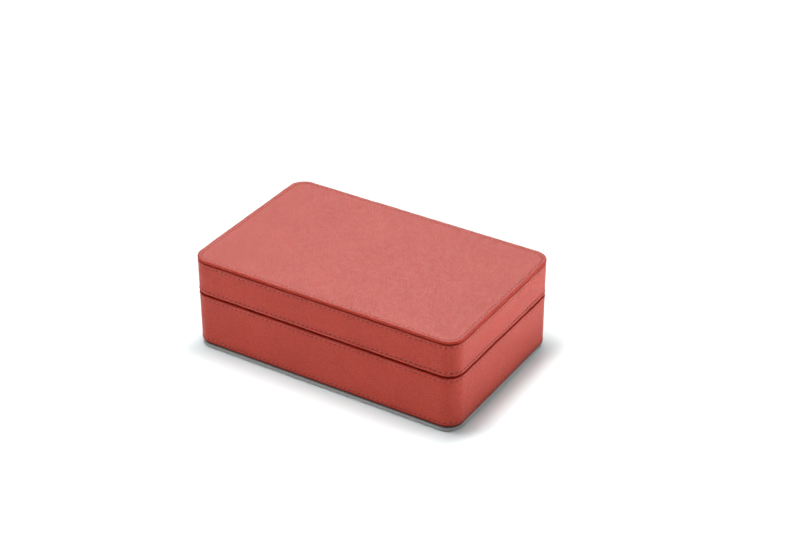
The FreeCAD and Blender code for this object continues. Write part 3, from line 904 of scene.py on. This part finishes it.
def divider(name, node, seed):
    """Suede wrapped board with rounded edges and a half-round finger notch."""
    lo, hi = span(node)
    x_mid, half = 0.5 * (lo[0] + hi[0]), 0.5 * (hi[0] - lo[0])
    y_end, low, high = hi[1], lo[2], hi[2]
    notch, ease = 12.0, 1.6
    # the upper line, from back to front in y: straight, eased shoulder, notch, shoulder, straight
    pts = []
    a0 = math.asin(ease / (notch + ease))
    y_c = (notch + ease) * math.cos(a0)
    for y in np.linspace(-y_end, -y_c, 26)[:-1]:
        pts.append((y, high))
    for t in np.linspace(math.pi / 2, a0, 7)[:-1]:
        pts.append((-y_c + ease * math.cos(t), high - ease + ease * math.sin(t)))
    for t in np.linspace(math.pi + a0, 2 * math.pi - a0, 45):
        pts.append((notch * math.cos(t), high + notch * math.sin(t)))
    left = [p for p in pts if p[0] < -1e-9]
    pts = left + ([(0.0, high - notch)]) + [(-y, z) for y, z in left[::-1]]
    line = np.array(pts)
    tangent = np.gradient(line, axis=0)
    tangent /= np.linalg.norm(tangent, axis=1)[:, None]
    inward = np.stack([tangent[:, 1], -tangent[:, 0]], -1)
    length = np.concatenate([[0], np.cumsum(np.linalg.norm(np.diff(line, axis=0), axis=1))])
    foot = np.stack([-y_end + 2 * y_end * length / length[-1], np.full(len(line), low)], -1)
    r = 1.0
    field = waves(seed, 9, 5.0, 20.0)
    rows = []                                   # (y, z) and half thickness
    for d in (0.0, 0.06, 0.22, 0.50, r):
        p = line + inward * d
        p[:, 0] = np.clip(p[:, 0], -y_end, y_end)
        rows.append((p, half - r + math.sqrt(max(r * r - (r - d) ** 2, 0.0))))
    inner = rows[-1][0]
    for k in np.linspace(0, 1, 15)[1:]:
        rows.append((inner + (foot - inner) * k, half))
    cols = len(line)
    side_a = [np.concatenate([np.full((cols, 1), h), p], 1) for p, h in rows]
    side_b = [np.concatenate([np.full((cols, 1), -h), p], 1) for p, h in rows]
    grid = np.stack(side_b[::-1] + side_a, 0)   # the two d = 0 rows meet at half - r
    n_rows = grid.shape[0]
    bump_out = np.sign(grid[..., 0]) * 0.03 * (field(grid[..., 0], grid[..., 1], grid[..., 2]) - 1.2)
    grid[..., 0] = x_mid + grid[..., 0] + bump_out
    faces = [quads(n_rows, cols, False, False)[:, ::-1]]
    # close the foot and the two ends
    near = np.arange(cols)
    away = (n_rows - 1) * cols + np.arange(cols)
    faces.append(np.stack([near[:-1], near[1:], away[1:], away[:-1]], -1))
    for c in (0, cols - 1):
        column = np.arange(n_rows) * cols + c
        one, other = column[:n_rows // 2], column[n_rows // 2:][::-1]
        end = np.stack([one[:-1], other[:-1], other[1:], one[1:]], -1)
        faces.append(end if c == 0 else end[:, ::-1])
    return new_mesh(name, grid.reshape(-1, 3), faces)


for number, side in enumerate(("left", "right")):
    finish_piece(divider("divider_%s_cover" % side, "divider_%s_suede" % side, 80 + number),
                 lining_suede, "base", "suede_lining",
                 "divider_%s_suede" % side, "divider_%s_board" % side)

# ---------------------------------------------------------------- linings

d_lo, d_hi = span("divider_left_suede")
e_lo, e_hi = span("divider_right_suede")


def floor_swell(p, normal):
    """Three soft fields between the dividers, the suede turned down round each."""
    lo, hi = span("base_floor_lining")
    up = np.clip(normal[:, 2], 0, 1)
    gap = np.minimum.reduce([np.abs(p[:, 0] - v) for v in (lo[0], d_lo[0], d_hi[0], e_lo[0], e_hi[0], hi[0])])
    gap = np.minimum(gap, np.minimum(p[:, 1] - lo[1], hi[1] - p[:, 1]))
    return up * (0.10 - 0.22 * np.exp(-gap / 0.9))


lo, hi = span("base_floor_lining")
finish_piece(soft_box("base_floor_cover", lo, hi, 0.30, 1.3, floor_swell, 0.03, 91),
             lining_suede, "base", "suede_lining", "base_floor_lining")


def ceiling_swell(p, normal):
    lo, hi = span("lid_ceiling_lining")
    down = np.clip(-normal[:, 2], 0, 1)
    gap = np.minimum(np.minimum(p[:, 0] - lo[0], hi[0] - p[:, 0]),
                     np.minimum(p[:, 1] - lo[1], hi[1] - p[:, 1]))
    return down * (0.12 - 0.22 * np.exp(-gap / 2.2))


lo, hi = span("lid_ceiling_lining")
finish_piece(soft_box("lid_ceiling_cover", lo, hi, 0.25, 1.6, ceiling_swell, 0.03, 92),
             lining_suede, "lid", "suede_lining", "lid_ceiling_lining")


def lid_sides():
    lo, hi = span("lid_side_lining")
    path = Outline(hi[0] - LINING, hi[1] - LINING, 0.8)
    z = np.concatenate([[lo[2] + 0.02, lo[2] + 0.10, lo[2] + 0.24, lo[2] + 0.5],
                        np.linspace(lo[2] + 1.2, hi[2] - 1.0, 9), [hi[2] - 0.4, hi[2] - 0.02]])
    inset = [0.30, 0.14, 0.05, 0.01] + [0.0] * 9 + [0.02, 0.06]
    section = [(LINING - 0.02, z[0]), (LINING - 0.02, z[-1])] \
        + [(i, v) for i, v in zip(inset[::-1], z[::-1])]
    field = waves(93, 9, 5.0, 20.0)

    def shape(s, off, height, x, y):
        inner = off < LINING - 0.1
        return off + 0.03 * (1.0 + field(x, y, height)) * inner, height, 0 * off
    return joined("lid_side_cover", [swept(path, 900, section, shape)])


finish_piece(lid_sides(), lining_suede, "lid", "suede_lining", "lid_side_lining")

# ---------------------------------------------------------------- floor, light, camera

floor_mesh = bpy.data.meshes.new("floor")
floor_mesh.from_pydata([(-30, -30, 0), (30, -30, 0), (30, 30, 0), (-30, 30, 0)], [], [(0, 1, 2, 3)])
floor = bpy.data.objects.new("floor", floor_mesh)
bpy.context.scene.collection.objects.link(floor)
floor_mat, floor_tree, floor_bsdf, floor_obj = nodes_of("pale_floor")
floor_tone = noise(floor_tree, floor_obj, 3.0, 2.0, 0.5)
floor_tree.links.new(ramp(floor_tree, floor_tone, [(0.3, (0.838, 0.908, 0.918)), (0.7, (0.843, 0.913, 0.923))]),
                     floor_bsdf.inputs["Base Color"])
floor_bsdf.inputs["Roughness"].default_value = 0.85
floor_bsdf.inputs["Specular IOR Level"].default_value = 0.1
# well away from the object the floor glows, its emission rising with distance: painted light standing in for a lit
# sweep
far = floor_tree.nodes.new("ShaderNodeVectorMath")
far.operation = "LENGTH"
floor_tree.links.new(floor_obj, far.inputs[0])
floor_bsdf.inputs["Emission Color"].default_value = (1, 1, 1, 1)
floor_tree.links.new(span_map(floor_tree, far.outputs["Value"], 0.32, 1.0, 0.0, 1.0),
                     floor_bsdf.inputs["Emission Strength"])
floor.data.materials.append(floor_mat)


def soft_light(name, at, size_x, size_y, power, target=(0, 0, 0.03), only_gloss=False):
    data = bpy.data.lights.new(name, "AREA")
    data.shape = "RECTANGLE"
    data.size = size_x
    data.size_y = size_y
    data.energy = power
    obj = bpy.data.objects.new(name, data)
    obj.location = at
    obj.rotation_euler = (Vector(target) - Vector(at)).to_track_quat("-Z", "Y").to_euler()
    if only_gloss:
        obj.visible_diffuse = False
    bpy.context.scene.collection.objects.link(obj)
    return obj


def floor_wash(name, at, aim, angle, blend, soft, power):
    """A spot that brightens the floor beside the object; only its soft edge touches the object."""
    data = bpy.data.lights.new(name, "SPOT")
    data.spot_size = math.radians(angle)
    data.spot_blend = blend
    data.shadow_soft_size = soft
    data.energy = power
    obj = bpy.data.objects.new(name, data)
    obj.location = at
    obj.rotation_euler = (Vector(aim) - Vector(at)).to_track_quat("-Z", "Y").to_euler()
    bpy.context.scene.collection.objects.link(obj)
    return obj


soft_light("key_over", (-0.15, 0.0, 1.35), 0.22, 0.22, 7.4)
soft_light("key_front", (-0.28, -0.22, 1.35), 0.22, 0.22, 6.2)
soft_light("key_back", (0.0, 0.22, 1.35), 0.22, 0.22, 7.2)
soft_light("right_low", (0.80, 1.10, 0.10), 0.60, 0.16, 2.6)
soft_light("right_high", (1.00, 0.55, 0.55), 0.50, 0.30, 3.8)
soft_light("left_low", (-1.20, -0.90, 0.10), 0.90, 0.18, 4.6)
soft_light("back_gloss", (-0.55, 0.90, 1.15), 0.90, 0.70, 31.5, only_gloss=True)
floor_wash("wash_right", (0.90, 0.05, 0.80), (0.594, 0.05, 0.0), 48.0, 0.15, 0.028, 92.0)
floor_wash("wash_right_back", (0.80, 0.60, 0.85), (0.50, 0.38, 0.0), 45.0, 0.3, 0.02, 62.0)
floor_wash("wash_left", (-0.80, -0.60, 0.85), (-0.52, -0.42, 0.0), 46.0, 0.3, 0.08, 69.0)
floor_wash("wash_front", (0.0, -0.95, 0.85), (0.0, -0.58, 0.0), 47.0, 0.3, 0.08, 38.0)

# the room: pale near the horizon, dim above
world = bpy.data.worlds.new("studio")
bpy.context.scene.world = world
world.use_nodes = True
wtree = world.node_tree
wcoord = wtree.nodes.new("ShaderNodeTexCoord")
wsplit = wtree.nodes.new("ShaderNodeSeparateXYZ")
wtree.links.new(wcoord.outputs["Generated"], wsplit.inputs[0])
wtree.links.new(span_map(wtree, wsplit.outputs["Z"], 0.02, 0.22, 1.0, 0.03),
                wtree.nodes["Background"].inputs[1])
wtree.nodes["Background"].inputs[0].default_value = (1, 1, 1, 1)

bpy.context.scene.view_settings.view_transform = "Standard"
bpy.context.scene.view_settings.look = "None"

AZ, EL = math.radians(31.657), math.radians(31.309)
back = Vector((math.sin(AZ) * math.cos(EL), -math.cos(AZ) * math.cos(EL), math.sin(EL)))
target = Vector((-0.0049, 0.0396, 0.0314))
cam_data = bpy.data.cameras.new("camera")
cam_data.sensor_width = 36.0
cam_data.lens = 85.2
cam_data.clip_end = 100.0
camera = bpy.data.objects.new("camera", cam_data)
camera.location = target + back * 1.1596
camera.rotation_euler = (-back).to_track_quat("-Z", "Y").to_euler()
bpy.context.scene.collection.objects.link(camera)
bpy.context.scene.camera = camera
